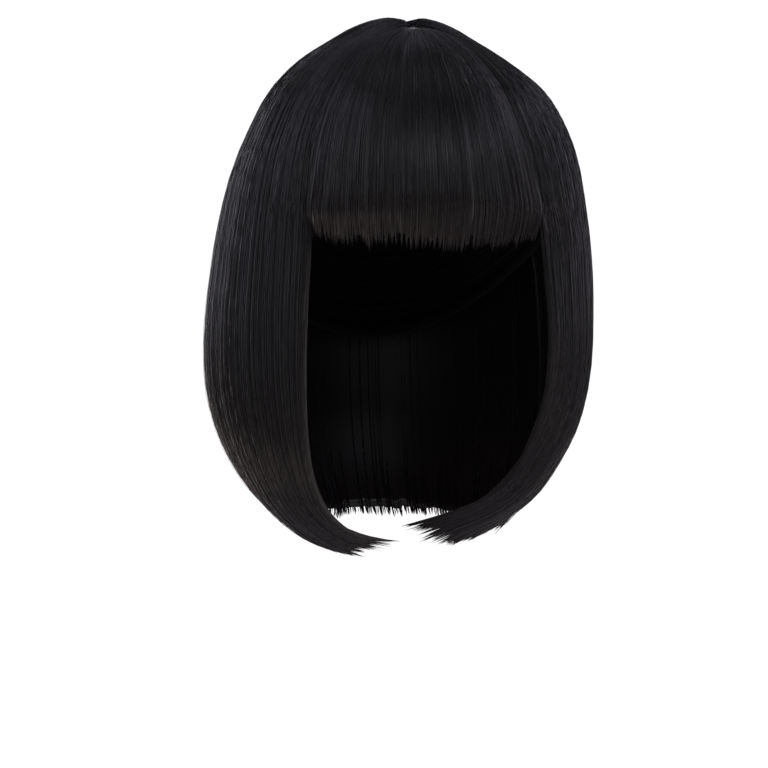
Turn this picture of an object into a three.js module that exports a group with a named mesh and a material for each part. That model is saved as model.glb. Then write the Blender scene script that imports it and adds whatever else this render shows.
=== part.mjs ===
// A straight bob wig with a full fringe, in the form that it takes on a head.
// Millimetres, +Z up. The face looks along -Y, and +X is the wearer's left.
// The origin is the point inside the cap that rests on the top of the head.
// The hair is modelled as four masses: thick walls, grooved into locks outside.
import * as THREE from "three";

// Head that the wig is made for
const headWidth = 150;
const headLength = 190;
const skullHeight = 90; // from the skull's widest level up to its top

// Cap that carries the hair
const capWall = 1.6;
const seatGap = 0.7; // between the cap and the hair sewn over it
const capFrontDrop = 62; // from the top of the head down to the cap's edge at the forehead
const capNapeDrop = 156; // and to its edge at the nape
const capTaper = 0.22; // share of its size that the cap loses below the widest level
const capColumns = 30;
const capRows = 10;

// Volume of the hair outside the cap
const crownVolume = 13.2;
const sideVolume = 23.7;
const backVolume = 20.6;
const fringeVolume = 4.3;
const domeShare = 0.945; // width at the skull's widest level, as a share of the full width
const lean = 4.2; // the furthest that a level of the hair stands off to one side
const crownPeak = 1.78; // how fast the dome falls from its top: 2 is an ellipse

// The cut
const hairFall = 174; // from the skull's widest level down to the longest tips
const fringeFall = 19.5; // and down to the middle of the fringe's hem
const fringeArch = 5.7; // rise of that hem at its corners
const fringeTuck = 4.5; // how far the hem turns in towards the brow
const fringeCorner = 59; // from the middle plane to the fringe's corner

// Parting
const partingFront = 22; // its ends, before and behind the head's axis
const partingBack = 8;
const partingHalf = 0.4; // half of its open width
const partingDepth = 3.4;
const partingSpread = 5; // degrees from the top over which the hair rises beside it
const partingBow = 4; // how much lower its two ends lie

// Curtains of hair beside the face
const faceHalf = 64; // from the middle plane to a curtain's front edge
const faceForward = 68; // that edge, before the head's axis
const templeForward = 87; // the front of the ring that the hair over the temples follows
const tipForward = 52;
const tipRight = 20; // the tips, from the middle plane: the wearer's right
const tipLeft = -3; // and left, which reaches past the middle
const curtainWall = 16;
const leastWall = 1.2;
const edgeShare = 0.25; // share of the wall left at a curtain's front edge
const edgeBand = 0.2; // share of the way round in which it grows to the full wall
const sweep = 0.25; // how far the ends are drawn forward

// Locks
const lockDepth = 1.5;
const lockTip = 4; // how much further a lock reaches than the groove beside it
const hemTip = 2.5; // the same at the fringe's hem
const seam = 0.3; // half of the gap between two masses
const splitShare = 0.5; // where the back mass meets a side one, from front edge to mid back
const columnsPerLock = 3;
const sideLocks = 9;
const backLocks = 13;
const fringeLocks = 11;

// Rows over the dome. turn: degrees from the top. reach: share of the dome's full width.
// right and left: the fringe's half width on the wearer's right and left, as shares of
// fringeCorner. lean: share of lean, towards the wearer's left.
const domeRows = [
  { turn: 0.6, reach: 0.006, right: 0, left: 0, lean: 0 },
  { turn: 3.5, reach: 0.042, right: 0.02, left: 0.02, lean: 0 },
  { turn: 7, reach: 0.09, right: 0.035, left: 0.035, lean: 0 },
  { turn: 12, reach: 0.16, right: 0.08, left: 0.08, lean: 0 },
  { turn: 19, reach: 0.263, right: 0.18, left: 0.17, lean: 0 },
  { turn: 28, reach: 0.39, right: 0.37, left: 0.33, lean: 0 },
  { turn: 38, reach: 0.567, right: 0.57, left: 0.5, lean: 0.15 },
  { turn: 50, reach: 0.755, right: 0.76, left: 0.66, lean: 0.8 },
  { turn: 62, reach: 0.868, right: 0.9, left: 0.78, lean: 1 },
  { turn: 72, reach: 0.936, right: 0.97, left: 0.86, lean: 0.83 },
  { turn: 81, reach: 0.975, right: 1, left: 0.91, lean: 0.62 },
  { turn: 90, reach: 1, right: 1.02, left: 0.94, lean: 0.48 },
];

// Rows down the falling hair. drop: share of the fall. width and back: shares of the
// full half width and depth behind. wall: share of curtainWall. right and left: how far
// each curtain's front edge has turned in from the face to its tip. lean: as above.
const fallRows = [
  { drop: 0.07, width: 0.966, back: 1, wall: 1.1, right: 0.07, left: 0.06, lean: 0.4 },
  { drop: 0.16, width: 0.982, back: 1, wall: 1, right: 0.05, left: 0.05, lean: 0.3 },
  { drop: 0.29, width: 0.998, back: 0.99, wall: 0.9, right: 0.02, left: 0.02, lean: 0 },
  { drop: 0.43, width: 1, back: 0.975, wall: 0.82, right: 0, left: 0, lean: -0.25 },
  { drop: 0.56, width: 0.979, back: 0.95, wall: 0.74, right: 0, left: 0.03, lean: -0.48 },
  { drop: 0.67, width: 0.935, back: 0.91, wall: 0.66, right: 0.02, left: 0.1, lean: -0.55 },
  { drop: 0.77, width: 0.866, back: 0.855, wall: 0.57, right: 0.07, left: 0.22, lean: -0.64 },
  { drop: 0.86, width: 0.777, back: 0.79, wall: 0.48, right: 0.19, left: 0.36, lean: -0.64 },
  { drop: 0.93, width: 0.674, back: 0.72, wall: 0.39, right: 0.42, left: 0.63, lean: -0.67 },
  { drop: 0.975, width: 0.595, back: 0.66, wall: 0.3, right: 0.68, left: 0.88, lean: -0.75 },
  { drop: 1, width: 0.56, back: 0.62, wall: 0.2, right: 1, left: 1, lean: -0.8 },
];

// Rows down the fringe's hem below the widest level. drop: share of fringeFall.
// tuck: share of fringeTuck. wall: share of the fringe's wall above.
const hemRows = [
  { drop: 0.4, tuck: 0.3, wall: 1 },
  { drop: 0.75, tuck: 0.65, wall: 0.85 },
  { drop: 1, tuck: 1, wall: 0.55 },
];

// The cut's length round the head, as shares of hairFall. round: from a curtain's front
// edge to mid back. right and left: the wearer's right and left.
const cutLine = [
  { round: 0, right: 0.975, left: 0.925 },
  { round: 0.15, right: 1, left: 0.975 },
  { round: 0.28, right: 0.98, left: 0.965 },
  { round: 0.43, right: 0.925, left: 0.925 },
  { round: 1, right: 0.9, left: 0.9 },
];

// The cap's edge. turn: degrees from the front. drop: share of the way from
// capFrontDrop to capNapeDrop.
const capEdge = [
  { turn: 0, drop: 0 },
  { turn: 40, drop: 0.06 },
  { turn: 70, drop: 0.42 },
  { turn: 95, drop: 0.38 },
  { turn: 130, drop: 0.8 },
  { turn: 180, drop: 1 },
];

const seatHalf = headWidth / 2 + capWall + seatGap;
const seatDepth = headLength / 2 + capWall + seatGap;
const seatTop = skullHeight + capWall + seatGap; // above the skull's widest level
const outerHalf = seatHalf + sideVolume;
const outerBack = seatDepth + backVolume;
const outerFront = seatDepth + fringeVolume;
const outerTop = seatTop + crownVolume;
const domeHalf = outerHalf * domeShare;

const radians = THREE.MathUtils.degToRad;
const mix = THREE.MathUtils.lerp;

// A value between the rows of a table.
function fromTable(rows, key, at, value) {
  const next = Math.max(1, rows.findIndex((row) => row[key] >= at));
  const [before, after] = [rows[next - 1], rows[next]];
  return mix(before[value], after[value], (at - before[key]) / (after[key] - before[key]));
}

// How far a column stands out, from 0 in a groove to 1 on a lock.
function ridgeAt(column) {
  return Math.abs(Math.sin((Math.PI * column) / columnsPerLock));
}

// The plan radius of the seat's ring at the widest level, towards a point of the plan.
function seatRadius(x, y) {
  const reach = Math.hypot(x, y);
  return reach / Math.hypot(x / seatHalf, y / seatDepth);
}

// The cap's share of its full size at a depth below the widest level.
function capNarrow(below) {
  return 1 - capTaper * (below / (capNapeDrop - skullHeight)) ** 2;
}

// The point on the seat under a point of the dome's outer face.
function seatUnder(x, y, turn) {
  const reach = Math.hypot(x, y);
  const radius = mix(reach, seatRadius(x, y) * Math.sin(turn), Math.sin(turn));
  const scale = radius / reach;
  const share = Math.min(1, radius / seatRadius(x, y));
  const z = seatTop * Math.sqrt(1 - share ** 2) - skullHeight;
  return new THREE.Vector3(x * scale, y * scale, z);
}

// The ring of the dome at one row, and where the fringe ends on it.
function domeRing(row, side) {
  const turn = radians(row.turn);
  const half = mix(partingHalf, domeHalf, row.reach) + side * lean * row.lean;
  const front = mix(partingFront, templeForward, row.reach);
  const back = mix(partingBack, outerBack, row.reach);
  const groove = partingDepth * Math.exp(-((row.turn / partingSpread) ** 2));
  const z = outerTop * Math.cos(turn) ** (2 / crownPeak) - skullHeight - groove;
  const corner = fringeCorner * (side < 0 ? row.right : row.left);
  const edge = Math.asin(corner / half);
  const step = seam / Math.hypot(half * Math.cos(edge), front * Math.sin(edge));
  return { turn, reach: row.reach, half, front, back, z, corner, edge, step };
}

// A pair of points of the dome, outside and on the seat, grooved between the locks.
function domePair(ring, x, y, ridge) {
  const groove = lockDepth * (1 - ridge);
  const scale = 1 - (groove * ring.reach) / Math.hypot(x, y);
  const bow = partingBow * (y / Math.hypot(x, y)) ** 2 * (1 - ring.reach);
  const z = ring.z - bow - groove * (1 - ring.reach);
  return [new THREE.Vector3(x * scale, y * scale, z), seatUnder(x, y, ring.turn)];
}

// A pair of points of a side or back mass over the dome. round: from the fringe to mid back.
function crownPair(row, side, round, ridge) {
  const ring = domeRing(row, side);
  const angle = mix(ring.edge + ring.step, Math.PI, round);
  const depth = Math.cos(angle) > 0 ? ring.front : ring.back;
  const x = Math.max(seam, ring.half * Math.sin(angle));
  return domePair(ring, side * x, -depth * Math.cos(angle), ridge);
}

// A pair of points of the falling hair. round: from a curtain's front edge to mid back.
function fallPair(row, side, round, ridge) {
  const hand = side < 0 ? "right" : "left";
  const tip = side < 0 ? tipRight : tipLeft;
  const forward = mix(faceForward, tipForward, row[hand]);
  const half = outerHalf * row.width + side * lean * row.lean;
  const edge = Math.asin(mix(faceHalf, tip, row[hand]) / half);
  const angle = mix(edge, Math.PI, round ** (1 + sweep * row.drop ** 2));
  const depth = Math.cos(angle) > 0 ? forward / Math.cos(edge) : outerBack * row.back;
  const thin = mix(edgeShare, 1, Math.min(1, round / edgeBand));
  const wall = Math.max(leastWall, curtainWall * row.wall * thin);
  const groove = lockDepth * (1 - ridge) * Math.min(1, wall / lockDepth / 3);
  const fall = row.drop * hairFall * fromTable(cutLine, "round", round, hand);
  const z = -skullHeight - fall + lockTip * (1 - ridge) * row.drop ** 6;
  const [outer, inner] = [groove, wall].map((inset) => {
    const x = (half - inset) * Math.sin(angle);
    return new THREE.Vector3(side * x, -(depth - inset) * Math.cos(angle), z);
  });
  const least = seatRadius(inner.x, inner.y) * capNarrow(fall);
  const room = Math.min(least, Math.hypot(outer.x, outer.y) - leastWall);
  const scale = Math.max(1, room / Math.hypot(inner.x, inner.y));
  return [outer, new THREE.Vector3(inner.x * scale, inner.y * scale, z)];
}

// A pair of points of the fringe over the dome. across: -1 at the wearer's right corner
// to 1 at the left one.
function fringePair(row, across, ridge) {
  const side = Math.sign(across) || 1;
  const ring = domeRing(row, side);
  const front = mix(partingFront, outerFront, ring.reach);
  const cornerForward = ring.front * Math.cos(ring.edge);
  const half = ring.corner / Math.sqrt(1 - (cornerForward / front) ** 2);
  const angle = Math.abs(across) * (Math.asin(ring.corner / half) - ring.step);
  return domePair(ring, side * half * Math.sin(angle), -front * Math.cos(angle), ridge);
}

// A pair of points of the fringe's hem, carried down from the dome's last row.
function hemPair(row, across, ridge) {
  const [outer, inner] = fringePair(domeRows.at(-1), across, ridge);
  const fall = fringeFall - fringeArch * across ** 2 - hemTip * (1 - ridge) * row.drop ** 3;
  const wall = outer.distanceTo(inner) * row.wall;
  return [0, wall].map((inset) => {
    const scale = 1 - (fringeTuck * row.tuck + inset) / Math.hypot(outer.x, outer.y);
    const z = -skullHeight - fall * row.drop;
    return new THREE.Vector3(outer.x * scale, outer.y * scale, z);
  });
}

// A closed wall through a grid of point pairs: rows from root to tip, columns across.
// A ring's columns join up, and its first row is the point at its top.
function wallOf(grid, isRing = false) {
  const rows = grid.length;
  const columns = grid[0].length;
  const bays = isRing ? columns : columns - 1;
  const faces = [];
  const at = (row, column, face) => {
    const around = isRing && row === 0 ? 0 : column % columns;
    return (row * columns + around) * 2 + face;
  };
  const triangle = (a, b, c) => {
    if (a !== b && b !== c && c !== a) faces.push(a, b, c);
  };
  const quad = (a, b, c, d) => {
    triangle(a, b, c);
    triangle(a, c, d);
  };
  for (let c = 0; c < bays; c += 1) {
    for (let r = 0; r < rows - 1; r += 1) {
      quad(at(r, c, 0), at(r + 1, c, 0), at(r + 1, c + 1, 0), at(r, c + 1, 0));
      quad(at(r, c, 1), at(r, c + 1, 1), at(r + 1, c + 1, 1), at(r + 1, c, 1));
    }
    const end = rows - 1;
    quad(at(end, c, 0), at(end, c, 1), at(end, c + 1, 1), at(end, c + 1, 0));
    if (!isRing) quad(at(0, c, 0), at(0, c + 1, 0), at(0, c + 1, 1), at(0, c, 1));
  }
  for (let r = 0; r < rows - 1 && !isRing; r += 1) {
    const last = columns - 1;
    quad(at(r, 0, 0), at(r, 0, 1), at(r + 1, 0, 1), at(r + 1, 0, 0));
    quad(at(r, last, 0), at(r + 1, last, 0), at(r + 1, last, 1), at(r, last, 1));
  }
  const geometry = new THREE.BufferGeometry().setFromPoints(grid.flat(2));
  return geometry.setIndex(faces);
}

// Numbers at even steps from one value to another.
function steps(from, to, count) {
  return Array.from({ length: count + 1 }, (_, i) => mix(from, to, i / count));
}

// The mass over one temple, from the parting down to the curtain's tips.
function sideHair(side) {
  const margin = seam / outerHalf;
  const shares = steps(0, splitShare - margin, sideLocks * columnsPerLock);
  if (side < 0) shares.reverse();
  const dome = domeRows.map((row) =>
    shares.map((round, c) => crownPair(row, side, round, ridgeAt(c))),
  );
  const fall = fallRows.map((row) =>
    shares.map((round, c) => fallPair(row, side, round, ridgeAt(c))),
  );
  return wallOf([...dome, ...fall]);
}

// The mass over the back of the head, from the wearer's left round to the right.
function backHair() {
  const reach = 1 - splitShare - seam / outerHalf;
  const shares = steps(-reach, reach, backLocks * columnsPerLock);
  const pairs = (pair, row) =>
    shares.map((share, c) => pair(row, share < 0 ? 1 : -1, 1 - Math.abs(share), ridgeAt(c)));
  const dome = domeRows.map((row) => pairs(crownPair, row));
  const fall = fallRows.map((row) => pairs(fallPair, row));
  return wallOf([...dome, ...fall]);
}

// The fringe, from the parting's front end down to its hem over the brow.
function fringeHair() {
  const shares = steps(-1, 1, fringeLocks * columnsPerLock);
  const dome = domeRows.filter((row) => row.right > 0);
  return wallOf([
    ...dome.map((row) => shares.map((across, c) => fringePair(row, across, ridgeAt(c)))),
    ...hemRows.map((row) => shares.map((across, c) => hemPair(row, across, ridgeAt(c)))),
  ]);
}

// The cap: a dome down to the skull's widest level, narrowing below it to the nape.
function capShell() {
  const turns = steps(0, 2 * Math.PI, capColumns).slice(0, -1);
  const point = (turn, share, wall) => {
    const fromFront = THREE.MathUtils.radToDeg(Math.min(turn, 2 * Math.PI - turn));
    const drop = fromTable(capEdge, "turn", fromFront, "drop");
    const edge = mix(capFrontDrop, capNapeDrop, drop) + wall;
    const top = skullHeight + wall;
    const arc = edge > top ? Math.PI / 2 : Math.acos(1 - edge / top);
    const length = arc * top + Math.max(0, edge - top);
    const along = share * length;
    const tilt = Math.min(arc, along / top);
    const below = Math.max(0, along - arc * top);
    const reach = Math.sin(tilt) * capNarrow(below);
    const x = (headWidth / 2 + wall) * reach * Math.sin(turn);
    const y = -(headLength / 2 + wall) * reach * Math.cos(turn);
    return new THREE.Vector3(x, y, top * Math.cos(tilt) - skullHeight - below);
  };
  const rows = steps(0, 1, capRows);
  const grid = rows.map((share) =>
    turns.map((turn) => [point(turn, share, capWall), point(turn, share, 0)]),
  );
  return wallOf(grid, true);
}

const wig = new THREE.Group();
wig.name = "bob_wig";

function addPiece(name, geometry, colour, roughness) {
  const material = new THREE.MeshStandardMaterial({ color: colour, roughness });
  const piece = new THREE.Mesh(geometry, material);
  piece.name = name;
  wig.add(piece);
}

addPiece("wig_cap", capShell(), "#17161a", 0.9);
addPiece("fringe", fringeHair(), "#1c1b20", 0.4);
addPiece("hair_right", sideHair(-1), "#19181d", 0.4);
addPiece("hair_left", sideHair(1), "#19181d", 0.4);
addPiece("hair_back", backHair(), "#17161b", 0.4);

export default wig;
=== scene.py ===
# A black bob wig with a full fringe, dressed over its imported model.
# Metres, +Z up. The face looks along -Y, and +X is the wearer's left.
import math

import bmesh
import bpy
import numpy as np
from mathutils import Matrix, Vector


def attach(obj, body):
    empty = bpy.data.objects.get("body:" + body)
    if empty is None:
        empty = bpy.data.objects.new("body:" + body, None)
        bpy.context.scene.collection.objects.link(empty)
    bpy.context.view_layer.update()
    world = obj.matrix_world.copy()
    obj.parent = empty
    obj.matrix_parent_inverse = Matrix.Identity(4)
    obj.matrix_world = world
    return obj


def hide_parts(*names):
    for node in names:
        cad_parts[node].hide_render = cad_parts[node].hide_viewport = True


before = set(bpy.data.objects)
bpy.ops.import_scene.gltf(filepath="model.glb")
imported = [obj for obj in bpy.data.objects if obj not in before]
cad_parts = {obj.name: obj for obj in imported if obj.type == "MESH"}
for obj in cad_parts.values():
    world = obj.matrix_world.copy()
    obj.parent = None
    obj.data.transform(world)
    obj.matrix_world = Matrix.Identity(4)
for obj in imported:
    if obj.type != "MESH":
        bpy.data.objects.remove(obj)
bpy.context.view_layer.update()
mm = 0.001
print("frame loaded:", ", ".join(sorted(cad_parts)))


# Camera
view = {
    "turn": -12,  # degrees round the wig, towards the wearer's right
    "distance": 1.8,
    "height": -0.1768,
    "aside": -0.00884,
    "lens": 162.3,
}


def addCamera():
    turn = math.radians(view["turn"])
    right = Vector((math.cos(turn), math.sin(turn), 0))
    back = Vector((math.sin(turn), -math.cos(turn), 0))
    data = bpy.data.cameras.new("camera")
    data.lens = view["lens"]
    data.sensor_width = 36
    camera = bpy.data.objects.new("camera", data)
    bpy.context.scene.collection.objects.link(camera)
    target = right * view["aside"] + Vector((0, 0, view["height"]))
    camera.location = target + back * view["distance"]
    camera.rotation_euler = (-back).to_track_quat("-Z", "Y").to_euler()
    bpy.context.scene.camera = camera


addCamera()
print("camera placed")


# Form of the wig on a head, in millimetres, as in the CAD source
form = {
    "headWidth": 150,
    "headLength": 190,
    "skullHeight": 90,
    "capWall": 1.6,
    "seatGap": 0.7,
    "capFrontDrop": 62,
    "capNapeDrop": 156,
    "capTaper": 0.22,
    "crownVolume": 13.2,
    "sideVolume": 23.7,
    "backVolume": 20.6,
    "fringeVolume": 4.3,
    "domeShare": 0.945,
    "lean": 4.2,
    "crownPeak": 1.78,
    "hairFall": 174,
    "fringeFall": 19.5,
    "fringeArch": 5.7,
    "fringeTuck": 4.5,
    "fringeCorner": 59,
    "partingFront": 22,
    "partingBack": 8,
    "partingHalf": 0.4,
    "partingDepth": 3.4,
    "partingSpread": 5,
    "partingBow": 4,
    "faceHalf": 64,
    "faceForward": 68,
    "templeForward": 87,
    "tipForward": 52,
    "tipRight": 20,
    "tipLeft": -3,
    "curtainWall": 16,
    "leastWall": 1.2,
    "edgeShare": 0.25,
    "edgeBand": 0.2,
    "sweep": 0.25,
    "seam": 0.3,
    "splitShare": 0.5,
}

# turn, reach, right, left, lean
domeRows = [
    (0.6, 0.006, 0, 0, 0),
    (3.5, 0.042, 0.02, 0.02, 0),
    (7, 0.09, 0.035, 0.035, 0),
    (12, 0.16, 0.08, 0.08, 0),
    (19, 0.263, 0.18, 0.17, 0),
    (28, 0.39, 0.37, 0.33, 0),
    (38, 0.567, 0.57, 0.5, 0.15),
    (50, 0.755, 0.76, 0.66, 0.8),
    (62, 0.868, 0.9, 0.78, 1),
    (72, 0.936, 0.97, 0.86, 0.83),
    (81, 0.975, 1, 0.91, 0.62),
    (90, 1, 1.02, 0.94, 0.48),
]

# drop, width, back, wall, right, left, lean
fallRows = [
    (0.07, 0.966, 1, 1.1, 0.07, 0.06, 0.4),
    (0.16, 0.982, 1, 1, 0.05, 0.05, 0.3),
    (0.29, 0.998, 0.99, 0.9, 0.02, 0.02, 0),
    (0.43, 1, 0.975, 0.82, 0, 0, -0.25),
    (0.56, 0.979, 0.95, 0.74, 0, 0.03, -0.48),
    (0.67, 0.935, 0.91, 0.66, 0.02, 0.1, -0.55),
    (0.77, 0.866, 0.855, 0.57, 0.07, 0.22, -0.64),
    (0.86, 0.777, 0.79, 0.48, 0.19, 0.36, -0.64),
    (0.93, 0.674, 0.72, 0.39, 0.42, 0.63, -0.67),
    (0.975, 0.595, 0.66, 0.3, 0.68, 0.88, -0.75),
    (1, 0.56, 0.62, 0.2, 1, 1, -0.8),
]

# drop, tuck, wall
hemRows = [(0.4, 0.3, 1), (0.75, 0.65, 0.85), (1, 1, 0.55)]

# round, right, left
cutLine = np.array([
    (0, 0.975, 0.925),
    (0.15, 1, 0.975),
    (0.28, 0.98, 0.965),
    (0.43, 0.925, 0.925),
    (1, 0.9, 0.9),
])

# degrees from the front, share of the way down to the nape
capEdge = np.array([(0, 0), (40, 0.06), (70, 0.42), (95, 0.38), (130, 0.8), (180, 1)])

cover = form["capWall"] + form["seatGap"]
seatHalf = form["headWidth"] / 2 + cover
seatDepth = form["headLength"] / 2 + cover
seatTop = form["skullHeight"] + cover
outerHalf = seatHalf + form["sideVolume"]
outerBack = seatDepth + form["backVolume"]
outerFront = seatDepth + form["fringeVolume"]
outerTop = seatTop + form["crownVolume"]
domeHalf = outerHalf * form["domeShare"]


def mix(a, b, share):
    return a + (b - a) * share


def unit(v):
    return v / np.maximum(np.linalg.norm(v, axis=-1, keepdims=True), 1e-9)


def seatRadius(x, y):
    return np.hypot(x, y) / np.hypot(x / seatHalf, y / seatDepth)


def seatUnder(x, y, turn):
    # the point of the cap's outside under a point of the dome
    reach = np.hypot(x, y)
    full = seatRadius(x, y)
    radius = mix(reach, full * math.sin(turn), math.sin(turn))
    z = seatTop * np.sqrt(1 - np.minimum(1, radius / full) ** 2) - form["skullHeight"]
    return np.stack([x * radius / reach, y * radius / reach, z], axis=-1)


def domeRing(row, side):
    turnDegrees, reach, right, left, leanShare = row
    turn = math.radians(turnDegrees)
    half = mix(form["partingHalf"], domeHalf, reach) + side * form["lean"] * leanShare
    groove = form["partingDepth"] * math.exp(-((turnDegrees / form["partingSpread"]) ** 2))
    z = outerTop * math.cos(turn) ** (2 / form["crownPeak"]) - form["skullHeight"] - groove
    corner = form["fringeCorner"] * np.where(side < 0, right, left)
    edge = np.arcsin(corner / half)
    front = mix(form["partingFront"], form["templeForward"], reach)
    back = mix(form["partingBack"], outerBack, reach)
    step = form["seam"] / np.hypot(half * np.cos(edge), front * np.sin(edge))
    return turn, reach, half, front, back, z, corner, edge, step


def domePair(ring, x, y, angle):
    turn, reach, z = ring[0], ring[1], ring[5]
    bow = form["partingBow"] * np.cos(angle) ** 2 * (1 - reach)
    return np.stack([x, y, z - bow], axis=-1), seatUnder(x, y, turn)


def crownPair(row, side, turned):
    ring = domeRing(row, side)
    half, front, back, edge, step = ring[2], ring[3], ring[4], ring[7], ring[8]
    angle = mix(edge + step, math.pi, turned)
    depth = np.where(np.cos(angle) > 0, front, back)
    x = np.maximum(form["seam"], half * np.sin(angle))
    return domePair(ring, side * x, -depth * np.cos(angle), angle)


def fallPair(row, side, turned):
    drop, width, back, wallShare, right, left, leanShare = row
    inward = np.where(side < 0, right, left)
    tip = np.where(side < 0, form["tipRight"], form["tipLeft"])
    forward = mix(form["faceForward"], form["tipForward"], inward)
    half = outerHalf * width + side * form["lean"] * leanShare
    edge = np.arcsin(mix(form["faceHalf"], tip, inward) / half)
    angle = mix(edge, math.pi, turned ** (1 + form["sweep"] * drop ** 2))
    depth = np.where(np.cos(angle) > 0, forward / np.cos(edge), outerBack * back)
    thin = mix(form["edgeShare"], 1, np.minimum(1, turned / form["edgeBand"]))
    wall = np.maximum(form["leastWall"], form["curtainWall"] * wallShare * thin)
    hands = [np.interp(turned, cutLine[:, 0], cutLine[:, k]) for k in (1, 2)]
    fall = drop * form["hairFall"] * np.where(side < 0, hands[0], hands[1])
    z = -form["skullHeight"] - fall
    pair = []
    for inset in (0, wall):
        x = side * (half - inset) * np.sin(angle)
        pair.append(np.stack([x, -(depth - inset) * np.cos(angle), z], axis=-1))
    outer, inner = pair
    below = fall / (form["capNapeDrop"] - form["skullHeight"])
    narrow = 1 - form["capTaper"] * below ** 2
    least = seatRadius(inner[:, 0], inner[:, 1]) * narrow
    room = np.minimum(least, np.hypot(outer[:, 0], outer[:, 1]) - form["leastWall"])
    scale = np.maximum(1, room / np.hypot(inner[:, 0], inner[:, 1]))
    inner[:, :2] *= scale[:, None]
    return outer, inner


def fringePair(row, across):
    side = np.where(across < 0, -1, 1)
    ring = domeRing(row, side)
    front = mix(form["partingFront"], outerFront, ring[1])
    cornerForward = ring[3] * np.cos(ring[7])
    half = ring[6] / np.sqrt(1 - (cornerForward / front) ** 2)
    angle = np.abs(across) * (np.arcsin(ring[6] / half) - ring[8])
    return domePair(ring, side * half * np.sin(angle), -front * np.cos(angle), angle)


def hemPair(row, across):
    drop, tuck, wallShare = row
    outer, inner = fringePair(domeRows[-1], across)
    fall = form["fringeFall"] - form["fringeArch"] * across ** 2
    wall = np.linalg.norm(outer - inner, axis=-1) * wallShare
    pair = []
    for inset in (0, wall):
        scale = 1 - (form["fringeTuck"] * tuck + inset) / np.hypot(outer[:, 0], outer[:, 1])
        flat = outer[:, :2] * scale[:, None]
        pair.append(np.column_stack([flat, -form["skullHeight"] - fall * drop]))
    return pair


def flowOf(pairs):
    # outer and inner faces of a mass, with rows spaced by their length along the hair
    outer = np.array([p[0] for p in pairs]) * mm
    inner = np.array([p[1] for p in pairs]) * mm
    steps = np.linalg.norm(np.diff(outer, axis=0), axis=-1).mean(axis=1)
    knots = np.concatenate([[0], np.cumsum(steps)])
    flow = {"length": knots[-1], "knots": knots / knots[-1]}
    for name, net in (("outer", outer), ("inner", inner)):
        flow[name] = net
        flow[name + "Slope"] = np.gradient(net, flow["knots"], axis=0)
    flow["girth"] = np.linalg.norm(np.diff(outer, axis=1), axis=-1).sum(axis=1).max()
    return flow


columns = 241


def sideFlow(side):
    turned = np.linspace(0, form["splitShare"], columns)
    sides = np.full(columns, side)
    rows = [crownPair(row, sides, turned) for row in domeRows]
    return flowOf(rows + [fallPair(row, sides, turned) for row in fallRows])


def backFlow():
    share = np.linspace(form["splitShare"] - 1, 1 - form["splitShare"], columns)
    sides = np.where(share < 0, 1, -1)
    turned = 1 - np.abs(share)
    rows = [crownPair(row, sides, turned) for row in domeRows]
    return flowOf(rows + [fallPair(row, sides, turned) for row in fallRows])


def fringeFlow():
    across = np.linspace(-1, 1, columns)
    rows = [fringePair(row, across) for row in domeRows if row[2] > 0]
    return flowOf(rows + [hemPair(row, across) for row in hemRows])


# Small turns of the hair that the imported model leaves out
settled = {
    "sink": 6 * mm,  # of the fringe before the parting's front end
    "sinkReach": 20 * mm,
    "rootRise": 3.5 * mm,  # its root runs up and back under the side hair
    "rootBack": 2 * mm,
    "rootReach": 4 * mm,
    "ridge": 0.15 * mm,  # of the side hair along the fringe
    "fringeRidge": -0.6,  # the fringe lies lower there, by this share of the ridge
    "ridgeReach": 6 * mm,
    "ridgeFadeIn": 8 * mm,
    "ridgeFadeOut": 30 * mm,
    "sideSink": 4.5 * mm,  # of the side hair beside the fringe's root
    "sideReach": 16 * mm,
    "sideWidth": 0.06,
    "overlap": 2.5 * mm,  # of the side hair over the fringe's upper edges
    "overlapAt": 16 * mm,
    "overlapReach": 12 * mm,
    "overlapWidth": 0.05,
    "overlapForward": 0.3,
    "partingClose": 1.1 * mm,
    "partingReach": 3 * mm,
    "crownLower": 1.3 * mm,
    "crownReach": 40 * mm,
    "cornerWide": 3.5 * mm,  # of the fringe's two lower corners
    "cornerSharp": 7,
    "cornerFrom": 0.6,
    "tuck": 2 * mm,  # of the fringe's lower part, towards the brow
    "tuckFrom": 0.68,
    "tuckMost": 1.2,
    "tipLift": {"hair_right": 4.5 * mm, "hair_left": 4.5 * mm},
    "liftFrom": 0.87,
    "liftMost": 1.4,
    "liftWidth": 0.4,
    "slim": {"hair_right": 0.4 * mm, "hair_left": 3.2 * mm},  # of a curtain's curl, from outside
    "slimFrom": (0.68, 0.88),
    "slimWidth": (0.15, 0.3),  # in which it fades at the curtain's front and back
    "slimAside": 0.8,
    "slimUp": 0.6,
}


def near(away, reach):
    return np.exp(-((away / reach) ** 2))


def past(share, start, most=1):
    # 0 up to a start, then rising to 1 at the end of the hair
    return np.clip((share - start) / (1 - start), 0, most)


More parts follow.
